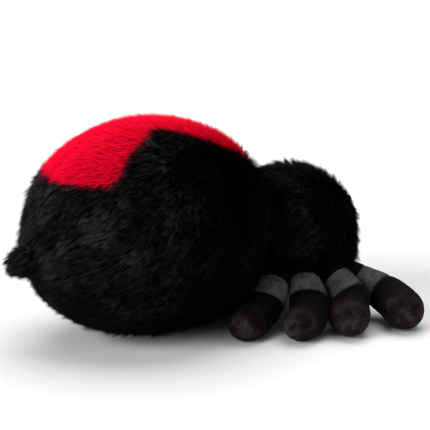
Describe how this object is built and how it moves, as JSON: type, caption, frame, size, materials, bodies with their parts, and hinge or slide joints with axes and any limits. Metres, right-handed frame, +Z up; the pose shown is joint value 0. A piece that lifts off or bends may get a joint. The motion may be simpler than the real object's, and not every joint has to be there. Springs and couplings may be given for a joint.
{
  "type": "plush toy black widow spider",
  "caption": "Stuffed toy spider with a round furry abdomen, a red hourglass panel on its back, a furry head and short velour legs with grey bands.",
  "frame": {"origin": "on the floor, under the middle of the toy's bounding box", "axes": "+X the way the toy faces, +Y its left side, +Z up"},
  "size_m": [0.2485, 0.1732, 0.1336],
  "materials": {
    "fur_black": "long soft faux fur, matte with a faint cool sheen on the tips",
    "fur_red": "long soft faux fur, bright red, matte",
    "velour_grey": "short-pile grey velour, slightly mottled",
    "velour_dark": "short-pile velour, nearly black with a faint maroon cast",
    "eye_black": "polished black plastic"
  },
  "bodies": {
    "root": {"abdomen": "fur_black", "hourglass": "fur_red", "head": "fur_black", "spinnerets": "fur_black", "leg_left_1_upper": "velour_dark", "leg_left_1_band": "velour_grey", "leg_left_1_foot": "velour_dark", "leg_left_2_upper": "velour_dark", "leg_left_2_band": "velour_grey", "leg_left_2_foot": "velour_dark", "leg_left_3_upper": "velour_dark", "leg_left_3_band": "velour_grey", "leg_left_3_foot": "velour_dark", "leg_left_4_upper": "velour_dark", "leg_left_4_band": "velour_grey", "leg_left_4_foot": "velour_dark", "leg_right_1_upper": "velour_dark", "leg_right_1_band": "velour_grey", "leg_right_1_foot": "velour_dark", "leg_right_2_upper": "velour_dark", "leg_right_2_band": "velour_grey", "leg_right_2_foot": "velour_dark", "leg_right_3_upper": "velour_dark", "leg_right_3_band": "velour_grey", "leg_right_3_foot": "velour_dark", "leg_right_4_upper": "velour_dark", "leg_right_4_band": "velour_grey", "leg_right_4_foot": "velour_dark", "eye_left_upper_outer": "eye_black", "eye_left_upper_inner": "eye_black", "eye_left_lower_outer": "eye_black", "eye_left_lower_inner": "eye_black", "eye_right_upper_outer": "eye_black", "eye_right_upper_inner": "eye_black", "eye_right_lower_outer": "eye_black", "eye_right_lower_inner": "eye_black", "fang_left": "velour_grey", "fang_right": "velour_grey"}
  },
  "joints": []
}
